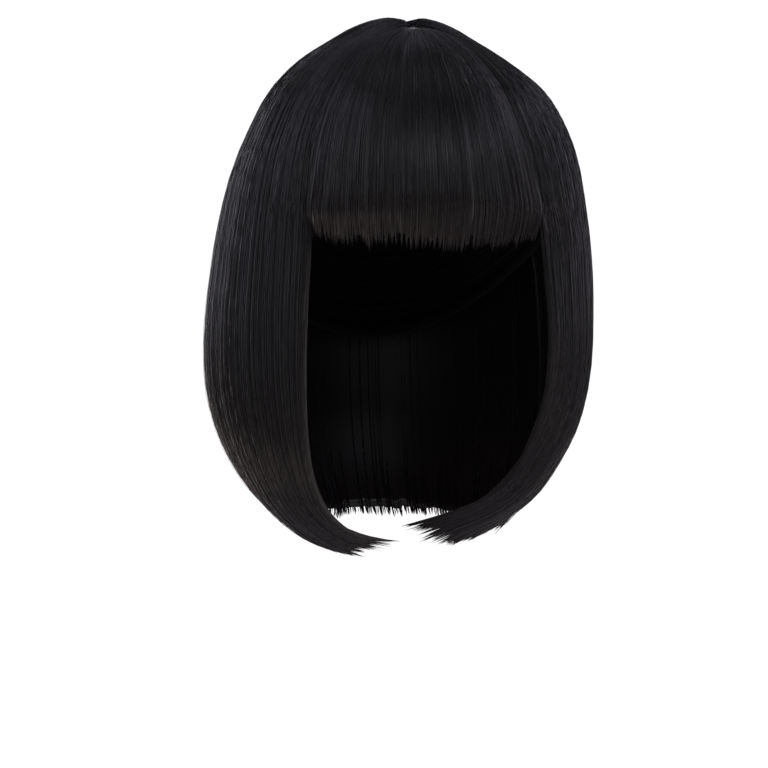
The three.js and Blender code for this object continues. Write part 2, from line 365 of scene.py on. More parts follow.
def settle(name, across, along):
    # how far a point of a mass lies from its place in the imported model
    away = along * flows[name]["length"]
    move = np.zeros(np.broadcast(across, along).shape + (3,))
    if name == "fringe":
        root = near(away, settled["rootReach"])
        move[..., 2] = settled["rootRise"] * root - settled["sink"] * near(away, settled["sinkReach"])
        move[..., 1] = settled["rootBack"] * root
        corner = (2 * across - 1) ** settled["cornerSharp"] * past(along, settled["cornerFrom"])
        move[..., 0] = settled["cornerWide"] * corner
        low = past(along, settled["tuckFrom"], settled["tuckMost"])
        move[..., 1] += settled["tuck"] * low ** 2
        return move
    side = {"hair_right": -1.0, "hair_left": 1.0}.get(name, np.sign(0.5 - across))
    move[..., 0] = -side * settled["partingClose"] * near(away, settled["partingReach"])
    move[..., 2] = -settled["crownLower"] * near(away, settled["crownReach"])
    if name in settled["tipLift"]:
        beside = near(across, settled["sideWidth"]) * near(away, settled["sideReach"])
        lift = past(along, settled["liftFrom"], settled["liftMost"]) ** 2
        lift = lift * np.clip(1 - across / settled["liftWidth"], 0, 1)
        move[..., 2] += settled["tipLift"][name] * lift - settled["sideSink"] * beside
        low, high = settled["slimFrom"]
        slim = np.clip((along - low) / (high - low), 0, 1)
        front, back = settled["slimWidth"]
        slim = slim * slim * (3 - 2 * slim) * np.clip(across / front, 0, 1)
        slim = slim * np.clip((1 - across) / back, 0, 1) * settled["slim"][name]
        move[..., 0] -= side * slim * settled["slimAside"]
        move[..., 2] += slim * settled["slimUp"]
        over = near(away - settled["overlapAt"], settled["overlapReach"])
        over = settled["overlap"] * over * near(across, settled["overlapWidth"])
        move[..., 0] -= side * over
        move[..., 1] -= settled["overlapForward"] * over
    return move


def onFlow(name, across, along):
    # the outer and inner points at shares across and along a mass
    flow = flows[name]
    knots = flow["knots"]
    row = np.clip(np.searchsorted(knots, along, side="right") - 1, 0, len(knots) - 2)
    span = knots[row + 1] - knots[row]
    t = np.minimum((along - knots[row]) / span, 1)[..., None]
    beyond = np.maximum(along - 1, 0)[..., None]
    place = np.clip(across, 0, 1) * (columns - 1)
    column = np.minimum(place.astype(int), columns - 2)
    part = (place - column)[..., None]
    span = span[..., None]
    found = []
    move = settle(name, across, along)
    for face in ("outer", "inner"):
        net, slope = flow[face], flow[face + "Slope"]
        p0, p1, m0, m1 = [
            mix(grid[r, column], grid[r, column + 1], part)
            for grid, r in ((net, row), (net, row + 1), (slope, row), (slope, row + 1))
        ]
        point = (2 * t ** 3 - 3 * t ** 2 + 1) * p0 + (t ** 3 - 2 * t ** 2 + t) * m0 * span
        point += (3 * t ** 2 - 2 * t ** 3) * p1 + (t ** 3 - t ** 2) * m1 * span
        found.append(point + m1 * beyond + move)
    return found


def boundary(name, across, along):
    # how much deeper a point lies beside the line where the side hair overlaps the fringe
    if name == "hair_back":
        return 0
    flow = flows[name]
    edge = across if name != "fringe" else np.minimum(across, 1 - across)
    beside = near(edge * flow["girth"], settled["ridgeReach"])
    away = along * flow["length"]
    left = flows["fringe"]["length"] - away
    shown = np.clip(away / settled["ridgeFadeIn"], 0, 1) * np.clip(left / settled["ridgeFadeOut"], 0, 1)
    lower = settled["fringeRidge"] if name == "fringe" else 1
    return -settled["ridge"] * lower * beside * shown


flows = {
    "fringe": fringeFlow(),
    "hair_right": sideFlow(-1),
    "hair_left": sideFlow(1),
    "hair_back": backFlow(),
}
print("flows laid out:", {k: (round(f["length"], 3), round(f["girth"], 3)) for k, f in flows.items()})


# Node groups and materials
def addNode(tree, kind, **inputs):
    node = tree.nodes.new(kind)
    for name, value in inputs.items():
        socket = node.inputs[int(name[1:])] if name[1:].isdigit() else node.inputs[name]
        if isinstance(value, bpy.types.NodeSocket):
            tree.links.new(value, socket)
        else:
            socket.default_value = value
    return node


def addMath(tree, operation, a, b=0.0, c=0.0):
    node = addNode(tree, "ShaderNodeMath", i0=a, i1=b, i2=c)
    node.operation = operation
    return node.outputs[0]


def addMix(tree, factor, a, b):
    node = tree.nodes.new("ShaderNodeMix")
    node.data_type = "RGBA"
    for place, value in ((0, factor), (6, a), (7, b)):
        if isinstance(value, bpy.types.NodeSocket):
            tree.links.new(value, node.inputs[place])
        else:
            node.inputs[place].default_value = value
    return node.outputs[2]


def addRange(tree, value, fromMin, fromMax, toMin, toMax):
    node = addNode(tree, "ShaderNodeMapRange", Value=value)
    for key, number in zip(("From Min", "From Max", "To Min", "To Max"), (fromMin, fromMax, toMin, toMax)):
        node.inputs[key].default_value = number
    return node


def makeStreaks():
    # fine streaks that run with the hair: across and along are lengths in metres
    group = bpy.data.node_groups.new("hair streaks", "ShaderNodeTree")
    for name in ("Across", "Along", "Fineness"):
        group.interface.new_socket(name, in_out="INPUT", socket_type="NodeSocketFloat")
    for name in ("Streak", "Band"):
        group.interface.new_socket(name, in_out="OUTPUT", socket_type="NodeSocketFloat")
    start = group.nodes.new("NodeGroupInput")
    end = group.nodes.new("NodeGroupOutput")
    # how fine each is across the hair, and how fast it changes along it
    for place, (fine, slow) in enumerate(((1.0, 12.0), (0.16, 7.0))):
        wide = addMath(group, "MULTIPLY", start.outputs["Across"], start.outputs["Fineness"])
        wide = addMath(group, "MULTIPLY", wide, fine)
        far = addMath(group, "MULTIPLY", start.outputs["Along"], slow)
        spot = addNode(group, "ShaderNodeCombineXYZ", X=wide, Y=far)
        noise = addNode(group, "ShaderNodeTexNoise", Vector=spot.outputs[0], Scale=1.0, Detail=3.0)
        group.links.new(noise.outputs["Fac"], end.inputs[place])
    return group


streaks = makeStreaks()

hairLook = {
    # root and tip: the hair's own near-black, with painted warm bounce light that browns it towards the
    # tips
    "root": (0.0065, 0.0062, 0.0078, 1),
    "tip": (0.0125, 0.0078, 0.0068, 1),
    "light": (0.017, 0.0150, 0.0165, 1),
    "warmBouncePower": 2.2,
    "fineness": 2200.0,  # streaks to a metre
    "roughness": (0.21, 0.35),
    "rootReach": (3 * mm, 10 * mm),
    "rootRough": 0.32,
    "ior": 1.55,
    "sheen": 0.06,
    "sheenRoughness": 0.4,
    "sheenTint": (0.62, 0.58, 0.9, 1),
    "bump": 0.8,
}


def makeHair(name, roughShift=0.0, bumpDepth=0.0):
    material = bpy.data.materials.new(name)
    material.use_nodes = True
    tree = material.node_tree
    shader = tree.nodes["Principled BSDF"]
    read = {}
    for key in ("tone", "across", "along", "share"):
        node = tree.nodes.new("ShaderNodeAttribute")
        node.attribute_name = key
        read[key] = node.outputs["Fac"]
    streak = tree.nodes.new("ShaderNodeGroup")
    streak.node_tree = streaks
    tree.links.new(read["across"], streak.inputs["Across"])
    tree.links.new(read["along"], streak.inputs["Along"])
    streak.inputs["Fineness"].default_value = hairLook["fineness"]
    # painted warm bounce light: the colour turns from the root's cool near-black to warm brown at the tips
    low = addMath(tree, "POWER", read["share"], hairLook["warmBouncePower"])
    colour = addMix(tree, low, hairLook["root"], hairLook["tip"])
    light = addMath(tree, "MULTIPLY", read["tone"], streak.outputs["Band"])
    colour = addMix(tree, light, colour, hairLook["light"])
    tree.links.new(colour, shader.inputs["Base Color"])
    lowest, highest = hairLook["roughness"]
    rough = addMath(tree, "MULTIPLY_ADD", read["tone"], highest - lowest, lowest + roughShift)
    # duller where the hair bends out of the parting
    root = addRange(tree, read["along"], *hairLook["rootReach"], hairLook["rootRough"], 0)
    rough = addMath(tree, "ADD", rough, root.outputs[0])
    tree.links.new(rough, shader.inputs["Roughness"])
    shader.inputs["IOR"].default_value = hairLook["ior"]
    shader.inputs["Sheen Weight"].default_value = hairLook["sheen"]
    shader.inputs["Sheen Roughness"].default_value = hairLook["sheenRoughness"]
    shader.inputs["Sheen Tint"].default_value = hairLook["sheenTint"]
    if bumpDepth:
        bump = addNode(tree, "ShaderNodeBump", Height=streak.outputs["Streak"])
        bump.inputs["Distance"].default_value = bumpDepth
        bump.inputs["Strength"].default_value = hairLook["bump"]
        tree.links.new(bump.outputs[0], shader.inputs["Normal"])
    return material


massHair = makeHair("packed hair", roughShift=0.05, bumpDepth=0.2 * mm)
strandHair = makeHair("loose hair")
print("materials made")


# Locks: bundles of strands that share a length and draw together at the tip
lockSizes = (0.55, 1.6)
leastLocks = 4


def layLocks(flow, seed, width, spread, pull):
    # edges across the mass, as shares, and the extra length of each lock in metres
    draw = np.random.default_rng(seed)
    count = max(leastLocks, int(flow["girth"] / width))
    sizes = draw.uniform(*lockSizes, count)
    edges = np.concatenate([[0], np.cumsum(sizes) / sizes.sum()])
    return {
        "edges": edges,
        "longer": draw.normal(0, spread, count),
        "lift": draw.uniform(0, 1, count),
        "tone": draw.uniform(0, 1, count),
        "pull": draw.uniform(*pull, count),
    }


def lockAt(locks, across):
    edges = locks["edges"]
    index = np.clip(np.searchsorted(edges, across, side="right") - 1, 0, len(edges) - 2)
    centre = (edges[index] + edges[index + 1]) / 2
    half = (edges[index + 1] - edges[index]) / 2
    return index, centre, (across - centre) / half


def setAttribute(mesh, name, values):
    layer = mesh.attributes.new(name, "FLOAT", "POINT")
    layer.data.foreach_set("value", np.ascontiguousarray(values, dtype=np.float32).ravel())


def finishMesh(work, name):
    bmesh.ops.remove_doubles(work, verts=work.verts, dist=0.01 * mm)
    bmesh.ops.recalc_face_normals(work, faces=work.faces)
    mesh = bpy.data.meshes.new(name)
    work.to_mesh(mesh)
    work.free()
    return mesh


def addPiece(name, mesh, material, slot, *nodes):
    mesh.materials.clear()
    mesh.materials.append(material)
    mesh.polygons.foreach_set("use_smooth", np.ones(len(mesh.polygons), dtype=bool))
    piece = bpy.data.objects.new(name, mesh)
    bpy.context.scene.collection.objects.link(piece)
    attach(piece, "root")
    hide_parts(*nodes)
    return piece


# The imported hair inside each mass: a closed wall with soft grooves between its locks
packed = {
    "columns": {"fringe": 330, "hair_right": 360, "hair_left": 360, "hair_back": 360},
    "innerColumns": 60,
    "rows": 40,
    "inset": 0.35 * mm,
    "groove": 0.25 * mm,
    "innerInset": 0.2 * mm,
    "relief": 0.03 * mm,  # of the strands that show in its outer face
    "reliefRows": 8,
    "reliefSeed": 7,
    "edgeRound": 0.05,  # share of the way across in which an open edge closes
    "edgeSharp": 0.3,  # how much of that is left beside the fringe
    "end": {"fringe": 0.97, "hair_right": 0.972, "hair_left": 0.972, "hair_back": 0.98},
    "start": {"fringe": 0.03, "hair_right": 0, "hair_left": 0, "hair_back": 0},
    "close": {"fringe": 0.06, "hair_right": 0.06, "hair_left": 0.06, "hair_back": 0.18},
    "closeDepth": 0.6,  # share of the wall's thickness at which its faces meet
    "point": 1.6 * mm,  # how much further a lock reaches than the groove beside it
    "pointPower": 6,
    "tone": 0.4,
    "lockTone": 0.3,
}


def reliefAt(loop, share):
    # an uneven depth for each column of the outer face, which changes slowly down the hair
    draw = np.random.default_rng(packed["reliefSeed"])
    table = draw.normal(0, packed["relief"], (packed["reliefRows"], loop.max() + 1))
    place = np.clip(share, 0, 1) * (packed["reliefRows"] - 1.001)
    row = place.astype(int)
    part = (1 - np.cos(math.pi * (place - row))) / 2
    return mix(table[row, loop], table[row + 1, loop], part)


def freeEdge(along):
    # 0 beside the fringe, 1 where the front edge hangs free below it
    return np.clip(along * 3 - 0.9, 0, 1)


def edgeRound(along):
    return packed["edgeRound"] * mix(packed["edgeSharp"], 1, freeEdge(along))


def addMass(name, locks, isOpen):
    flow = flows[name]
    wide, innerWide, tall = packed["columns"][name], packed["innerColumns"], packed["rows"]
    around = wide + innerWide + 2
    work = bmesh.new()
    bmesh.ops.create_grid(work, x_segments=around, y_segments=tall + 1, size=0.5)
    work.verts.ensure_lookup_table()
    # the grid's columns run out over the outer face and back over the inner one
    spot = np.array([v.co for v in work.verts]) + 0.5
    loop = np.rint(spot[:, 0] * around).astype(int) % around
    line = np.rint(spot[:, 1] * (tall + 1)).astype(int)
    inside = loop > wide
    across = np.where(inside, 1 - (loop - wide - 1) / innerWide, loop / wide)
    share = np.clip(line - 1, 0, tall - 1) / (tall - 1)
    along = mix(packed["start"][name], packed["end"][name], share)
    index, centre, local = lockAt(locks, across)
    point = locks["longer"][index] - packed["point"] * local ** 2
    along = along + point / flow["length"] * share ** packed["pointPower"]
    outer, inner = onFlow(name, across, along)
    wall = np.linalg.norm(outer - inner, axis=-1)
    inward = unit(inner - outer)
    groove = packed["groove"] * local ** 2 * np.clip(along, 0, 1) ** 2
    over = packed["inset"] + groove + boundary(name, across, along) + reliefAt(loop, share)
    depth = np.where(inside, wall - packed["innerInset"], over)
    # its wall closes at the hem and at an open front edge
    full = np.clip((1 - share) / packed["close"][name], 0, 1)
    if isOpen:
        full = np.minimum(full, np.clip(across / edgeRound(along), 0, 1))
    full = np.sqrt(1 - (1 - full) ** 2)
    full[(line == 0) | (line == tall + 1)] = 0
    depth = mix(wall * packed["closeDepth"], np.clip(depth, 0, wall), full)
    place = outer + inward * depth[:, None]
    for vertex, point in zip(work.verts, place):
        vertex.co = point
    layers = [work.verts.layers.float.new(key) for key in ("tone", "across", "along", "share")]
    tone = mix(packed["tone"], locks["tone"][index], packed["lockTone"])
    values = np.stack([tone, across * flow["girth"], along * flow["length"], along])
    for vertex, row in zip(work.verts, values.T):
        for layer, value in zip(layers, row):
            vertex[layer] = value
    return addPiece(name + "_mass", finishMesh(work, name + "_mass"), massHair, "hair", name)


# Loose strands over each mass
strand = {
    "thick": (0.11 * mm, 0.22 * mm),  # radius
    "flat": 0.65,  # strands lie flat on the hair under them
    "depth": 0.22 * mm,
    "proud": 0.06 * mm,
    "drift": 0.35 * mm,  # sideways
    "driftTurn": (2, 7),  # radians in the length of the hair
    "sway": 6 * mm,  # length of a radian of the sway in and out
    "lockGroove": 0.2 * mm,
    "strays": 0.015,
    "strayLift": 1.8 * mm,
    "frontLonger": {"hair_right": 4 * mm, "hair_left": 1 * mm},
    "frontWidth": 0.12,
    "raggedWidth": 0.3,
    "shortEnd": (0.8, 1.0),
    "closer": 0.06,  # how much closer the rings stand where the hair bends
    "uneven": (0.86, 1.16),
    "tuft": 10 * mm,  # the length in which tufts draw together at their ends
    "wrapOut": 0.6,  # share of the strands round a front edge that lie on its outer side
    "rootSink": 2.2 * mm,  # of strands that start below the parting
    "rootSinkFade": 9,
    "insideDepth": (0.1 * mm, 1.2 * mm),
    "deepest": 0.8,
    "rootThin": (0.35, 8),
    "tipThin": 0.15,
    "tone": 0.4,
}


def makeStrand(points):
    # one straight strand: a closed three-sided tube that knows its rings and sides
    work = bmesh.new()
    bmesh.ops.create_grid(work, x_segments=3, y_segments=points - 1, size=0.5)
    ring = work.verts.layers.float.new("ring")
    side = work.verts.layers.float.new("side")
    for vertex in work.verts:
        vertex[side] = round((vertex.co.x + 0.5) * 3)
        vertex[ring] = round((vertex.co.y + 0.5) * (points - 1))
        turn = 2 * math.pi * vertex[side] / 3
        vertex.co = (math.cos(turn), math.sin(turn), vertex[ring])
    bmesh.ops.remove_doubles(work, verts=work.verts, dist=0.01)
    bmesh.ops.holes_fill(work, edges=[e for e in work.edges if e.is_boundary], sides=3)
    bmesh.ops.recalc_face_normals(work, faces=work.faces)
    mesh = bpy.data.meshes.new("strand")
    work.to_mesh(mesh)
    work.free()
    return mesh


def tubesOf(name, paths, outward, radii, turns):
    # many strands in one mesh, each laid along its own path
    count, points = paths.shape[:2]
    one = makeStrand(points)
    holder = bpy.data.objects.new(name, one)
    bpy.context.scene.collection.objects.link(holder)
    array = holder.modifiers.new("strands", "ARRAY")
    array.count = count
    array.use_relative_offset = False
    graph = bpy.context.evaluated_depsgraph_get()
    mesh = bpy.data.meshes.new_from_object(holder.evaluated_get(graph))
    bpy.data.objects.remove(holder)
    size = len(one.vertices)
    ring, side = np.zeros(size), np.zeros(size)
    one.attributes["ring"].data.foreach_get("value", ring)
    one.attributes["side"].data.foreach_get("value", side)
    ring = np.rint(ring).astype(int)
    bpy.data.meshes.remove(one)
    course = unit(np.gradient(paths, axis=1))
    up = outward - course * np.sum(outward * course, axis=-1, keepdims=True)
    up = unit(up)
    aside = np.cross(course, up)
    turn = turns[:, None] + 2 * math.pi * side[None, :] / 3
    wide = radii[:, ring]
    round3 = up[:, ring] * (np.cos(turn) * wide * strand["flat"])[..., None]
    round3 += aside[:, ring] * (np.sin(turn) * wide)[..., None]
    mesh.vertices.foreach_set("co", (paths[:, ring] + round3).ravel())
    for key in ("ring", "side"):
        mesh.attributes.remove(mesh.attributes[key])
    mesh.name = name
    return mesh, ring


def addStrands(name, locks, tufts, settings, seed, part):
    flow = flows[name]
    draw = np.random.default_rng(seed)
    count, points = settings["count"], settings["points"]
    rooted = draw.random(count) < settings["rooted"]
    start = np.where(rooted, settings["root"], draw.uniform(*settings["start"], count))
    base = draw.uniform(0, 1, count) ** settings["forward"] * settings["reach"]
    index, centre, local = lockAt(locks, base)
    forward = np.clip(1 - base / strand["raggedWidth"], 0, 1)
    ragged = settings["ragged"] * (1 + settings["frontRagged"] * forward)
    tuft, tuftCentre, _ = lockAt(tufts, base)
    longer = locks["longer"][index] + tufts["longer"][tuft] + draw.normal(0, 1, count) * ragged
    front = np.clip(1 - base / strand["frontWidth"], 0, 1) * draw.uniform(0.1, 1, count)
    end = 1 + (longer + front * strand["frontLonger"].get(name, 0)) / flow["length"]
    shorter = draw.random(count) < settings["short"]
    end = np.where(shorter, draw.uniform(*strand["shortEnd"], count), end)
    step = np.linspace(0, 1, points - 1)[None, :]
    step = step - strand["closer"] * np.sin(2 * math.pi * step)
    step = step ** draw.uniform(*strand["uneven"], count)[:, None]
    point = settings["point"] / flow["length"] / (end - start)[:, None]
    step = np.column_stack([step * (1 - point), np.ones(count)])
    along = mix(start[:, None], end[:, None], step)
    pull = locks["pull"][index][:, None] * np.clip(along, 0, 1.05) ** settings["pullPower"]
    local = local[:, None] * (1 - pull)
    half = (locks["edges"][index + 1] - locks["edges"][index])[:, None] / 2
    wave = draw.uniform(0, 2 * math.pi, count)[:, None]
    wave = wave + along * draw.uniform(*strand["driftTurn"], count)[:, None]
    drift = np.sin(wave) * draw.uniform(0, strand["drift"], count)[:, None] / flow["girth"]
    across = centre[:, None] + local * half + drift * np.minimum(1, along * 3)
    gather = np.clip(1 - (end[:, None] - along) * flow["length"] / strand["tuft"], 0, 1)
    middle = centre[:, None] + (tuftCentre - centre)[:, None] * (1 - pull)
    across = mix(across, middle, gather * tufts["pull"][tuft][:, None])
    # strands at a curtain's front edge wrap round it
    edge = (base < settings["openEdge"])[:, None]
    wrap = draw.uniform(0.02, 0.98, count)[:, None]
    out = strand["wrapOut"]
    bend = np.where(wrap < out, 1 - wrap / out, (wrap - out) / (1 - out))
    wrapped = edgeRound(along) * (1 - np.sqrt(1 - bend ** 2)) + drift * 0.5
    below = freeEdge(along) * edge
    across = mix(across, wrapped, below)
    outer, inner = onFlow(name, across, along)
    wall = np.linalg.norm(outer - inner, axis=-1)
    inward = unit(inner - outer)
    depth = draw.uniform(-strand["proud"], strand["depth"], count)[:, None]
    depth = depth + strand["lockGroove"] * local ** 2 * np.clip(along, 0, 1) ** 2
    depth = depth + boundary(name, across, along)
    # tufts lie a little in and out along the hair, so their sheens don't line up
    turn = 2 * math.pi * tufts["lift"][tuft][:, None]
    sway = np.sin(along * flow["length"] / strand["sway"] + turn)
    depth = depth + settings["sway"] * sway * np.clip(along * 4, 0, 1)
    sunk = np.where(rooted, 0.0, 1.0)[:, None]
    depth = depth + sunk * strand["rootSink"] * np.exp(-step * strand["rootSinkFade"])
    stray = (draw.random(count) < strand["strays"]) * draw.uniform(0.3, 1, count)
    depth = depth - stray[:, None] * strand["strayLift"] * np.clip(along, 0, 1) ** 2
    inside = draw.random(count) < settings["inside"]
    layer = draw.uniform(*strand["insideDepth"], count)[:, None]
    depth = np.minimum(depth, wall * strand["deepest"])
    depth = np.where(inside[:, None], wall - layer, depth)
    depth = mix(depth, wrap * wall, below)
    path = outer + inward * depth[..., None]
    lowest, highest = strand["thick"]
    thick = draw.uniform(lowest, highest, count)[:, None] * settings["thick"]
    thin, grow = strand["rootThin"]
    taper = np.minimum(1, thin + step * grow) * np.where(step < 1, 1, strand["tipThin"])
    turns = draw.uniform(0, 2 * math.pi, count)
    mesh, ring = tubesOf(name + part, path, -inward, thick * taper, turns)
    tone = draw.normal(strand["tone"], settings["toneSpread"], count)
    tone = np.clip(tone + settings["toneSpread"] * (locks["tone"][index] - 0.5), 0, 1)
    for key, values in (
        ("tone", np.broadcast_to(tone[:, None], along.shape)),
        ("across", across * flow["girth"]),
        ("along", along * flow["length"]),
        ("share", np.clip(along, 0, 1)),
    ):
        setAttribute(mesh, key, values[:, ring])
    return addPiece(name + part, mesh, strandHair, "hair", name)


fringeStrands = {
    "root": 0.018,
    "count": 1150,
    "points": 26,
    "rooted": 0.55,
    "start": (0, 0.35),
    "forward": 1,
    "reach": 1,
    "ragged": 0.8 * mm,
    "frontRagged": 0,
    "short": 0.1,
    "point": 3 * mm,
    "pullPower": 2.5,
    "inside": 0.06,
    "openEdge": 0,
    "thick": 0.9,
    "toneSpread": 0.24,
    "sway": 0.16 * mm,
}
sideStrands = {
    "root": 0,
    "count": 850,
    "points": 34,
    "rooted": 0.55,
    "start": (0, 0.35),
    "forward": 1.1,
    "reach": 1,
    "ragged": 1.2 * mm,
    "frontRagged": 0.6,
    "short": 0.08,
    "point": 4 * mm,
    "pullPower": 3,
    "inside": 0.1,
    "openEdge": 0.03,
    "thick": 1.0,
    "toneSpread": 0.05,
    "sway": 0.05 * mm,
}
backStrands = {
    "root": 0,
    "count": 750,
    "points": 28,
    "rooted": 0.55,
    "start": (0, 0.35),
    "forward": 1,
    "reach": 1,
    "ragged": 1.1 * mm,
    "frontRagged": 0,
    "short": 0.08,
    "point": 4 * mm,
    "pullPower": 3,
    "inside": 0.3,
    "openEdge": 0,
    "thick": 1.6,
    "toneSpread": 0.08,
    "sway": 0.1 * mm,
}
# more strands where a curtain is seen close: round its front edge, and at its ends
edgeStrands = {
    **sideStrands,
    "count": 400,
    "points": 12,
    "rooted": 0,
    "start": (0.25, 0.6),
    "reach": 0.03,
    "short": 0.2,
    "inside": 0,
    "openEdge": 1,
}
endStrands = {
    **sideStrands,
    "count": 600,
    "points": 8,
    "rooted": 0,
    "start": (0.74, 0.88),
    "forward": 1.7,
    "ragged": 2 * mm,
    "short": 0,
    "inside": 0.3,
    "openEdge": 0.04,
    "thick": 0.75,
}

sideSets = {"_strands": sideStrands, "_edge": edgeStrands, "_ends": endStrands}

# width and uneven length of its locks and of the tufts at its hem
hems = {
    "fringe": (4 * mm, 0.9 * mm, 2.2 * mm, 1.0 * mm),
    "hair_right": (4.5 * mm, 0.8 * mm, 1.8 * mm, 1.6 * mm),
    "hair_left": (4.5 * mm, 0.8 * mm, 1.8 * mm, 1.6 * mm),
    "hair_back": (6 * mm, 1.0 * mm, 3 * mm, 1.0 * mm),
}

for name, sets, seed in (
    ("fringe", {"_strands": fringeStrands}, 11),
    ("hair_right", sideSets, 12),
    ("hair_left", sideSets, 13),
    ("hair_back", {"_strands": backStrands}, 14),
):
    width, spread, tuftWidth, tuftSpread = hems[name]
    locks = layLocks(flows[name], seed, width, spread, (0, 0.25))
    tufts = layLocks(flows[name], seed + 20, tuftWidth, tuftSpread, (0.4, 0.85))
    mass = addMass(name, locks, "_edge" in sets)
    faces = [len(mass.data.polygons)]
    for order, (part, settings) in enumerate(sets.items()):
        loose = addStrands(name, locks, tufts, settings, seed + 40 + 10 * order, part)
        faces.append(len(loose.data.polygons))
    print(name, "made, faces:", faces)


# The cap: a fine net under the hair, bound at its edge, with rows of sewn hair inside
cap = {
    "around": 144,
    "rows": 40,
    "netOut": 0.9,  # millimetres from the head to the middle of the net
    "netWall": 0.9 * mm,
    "edgeBlend": range(-24, 25, 4),  # degrees over which the edge's corners are rounded
    "bandWidth": 8,
    # how far up the band's width, and out from the head, the tape goes as it folds over the edge
    "bandFold": [(-1, 0.1), (-0.5, -0.02), (-0.04, 0.1), (0.05, 0.8), (-0.04, 1.5), (-0.5, 1.6), (-1, 1.5)],
    "weftRows": 13,
    "weftFrom": 0.12,
    "weftSpan": 0.8,
    "weftSides": 5,
    "weftRadius": 0.45,
    "weftWide": 2.2,
    "weftOut": 0.35,
}

capLook = {
    "dark": (0.0085, 0.0080, 0.0095, 1),
    "light": (0.030, 0.028, 0.033, 1),
    "holes": {"cap net": 900.0, "cap tape": 1600.0},
    "depth": {"cap net": 0.5 * mm, "cap tape": 0.3 * mm},
    "thread": (0.18, 0.2),
    "wear": 60.0,
    "roughness": (0.72, 0.9),
    "specular": 0.25,
}


def capPoint(turn, down, out):
    # turn: from the front, round the head. down: 0 at the top to 1 at the edge, and past it
    fromFront = np.degrees(np.minimum(turn, 2 * math.pi - turn))
    spread = [180 - np.abs(180 - np.abs(fromFront + k)) for k in cap["edgeBlend"]]
    share = np.mean([np.interp(a, capEdge[:, 0], capEdge[:, 1]) for a in spread], axis=0)
    edge = mix(form["capFrontDrop"], form["capNapeDrop"], share) + out
    top = form["skullHeight"] + out
    arc = np.where(edge > top, math.pi / 2, np.arccos(np.clip(1 - edge / top, -1, 1)))
    length = arc * top + np.maximum(0, edge - top)
    reach = down * length
    tilt = np.minimum(arc, reach / top)
    below = np.maximum(0, reach - arc * top)
    narrow = 1 - form["capTaper"] * (below / (form["capNapeDrop"] - form["skullHeight"])) ** 2
    wide = np.sin(tilt) * narrow
    x = (form["headWidth"] / 2 + out) * wide * np.sin(turn)
    y = -(form["headLength"] / 2 + out) * wide * np.cos(turn)
    z = top * np.cos(tilt) - form["skullHeight"] - below
    return np.stack([x, y, z], axis=-1) * mm, length


def bentGrid(work, wide, tall, place):
    # a grid of wide by tall faces whose corners go where place(i, j) says
    made = bmesh.ops.create_grid(work, x_segments=wide, y_segments=tall, size=0.5)["verts"]
    spot = np.array([v.co for v in made]) + 0.5
    points = place(np.rint(spot[:, 0] * wide), np.rint(spot[:, 1] * tall))
    for vertex, point in zip(made, points):
        vertex.co = point
    return made


def makeWeave():
    # a fine net or tape: threads across both ways, with open holes between them
    group = bpy.data.node_groups.new("net weave", "ShaderNodeTree")
    group.interface.new_socket("Holes", in_out="INPUT", socket_type="NodeSocketFloat")
    for name in ("Thread", "Wear"):
        group.interface.new_socket(name, in_out="OUTPUT", socket_type="NodeSocketFloat")
    start = group.nodes.new("NodeGroupInput")
    end = group.nodes.new("NodeGroupOutput")
    place = group.nodes.new("ShaderNodeTexCoord").outputs["Object"]
    cells = addNode(group, "ShaderNodeTexVoronoi", Vector=place)
    group.links.new(start.outputs["Holes"], cells.inputs["Scale"])
    thread = addMath(group, "SMOOTH_MAX", cells.outputs["Distance"], *capLook["thread"])
    group.links.new(thread, end.inputs["Thread"])
    wear = addNode(group, "ShaderNodeTexNoise", Vector=place, Scale=capLook["wear"], Detail=4.0)
    group.links.new(wear.outputs["Fac"], end.inputs["Wear"])
    return group


weave = makeWeave()


def makeCloth(name):
    material = bpy.data.materials.new(name)
    material.use_nodes = True
    tree = material.node_tree
    shader = tree.nodes["Principled BSDF"]
    net = tree.nodes.new("ShaderNodeGroup")
    net.node_tree = weave
    net.inputs["Holes"].default_value = capLook["holes"][name]
    shade = addMath(tree, "MULTIPLY", net.outputs["Thread"], net.outputs["Wear"])
    colour = addMix(tree, shade, capLook["dark"], capLook["light"])
    tree.links.new(colour, shader.inputs["Base Color"])
    low, high = capLook["roughness"]
    rough = addMath(tree, "MULTIPLY_ADD", net.outputs["Wear"], high - low, low)
    tree.links.new(rough, shader.inputs["Roughness"])
    shader.inputs["Specular IOR Level"].default_value = capLook["specular"]
    bump = addNode(tree, "ShaderNodeBump", Height=net.outputs["Thread"])
    bump.inputs["Distance"].default_value = capLook["depth"][name]
    tree.links.new(bump.outputs[0], shader.inputs["Normal"])
    return material


def capLength(turn):
    return capPoint(turn, np.ones_like(turn), cap["netOut"])[1]


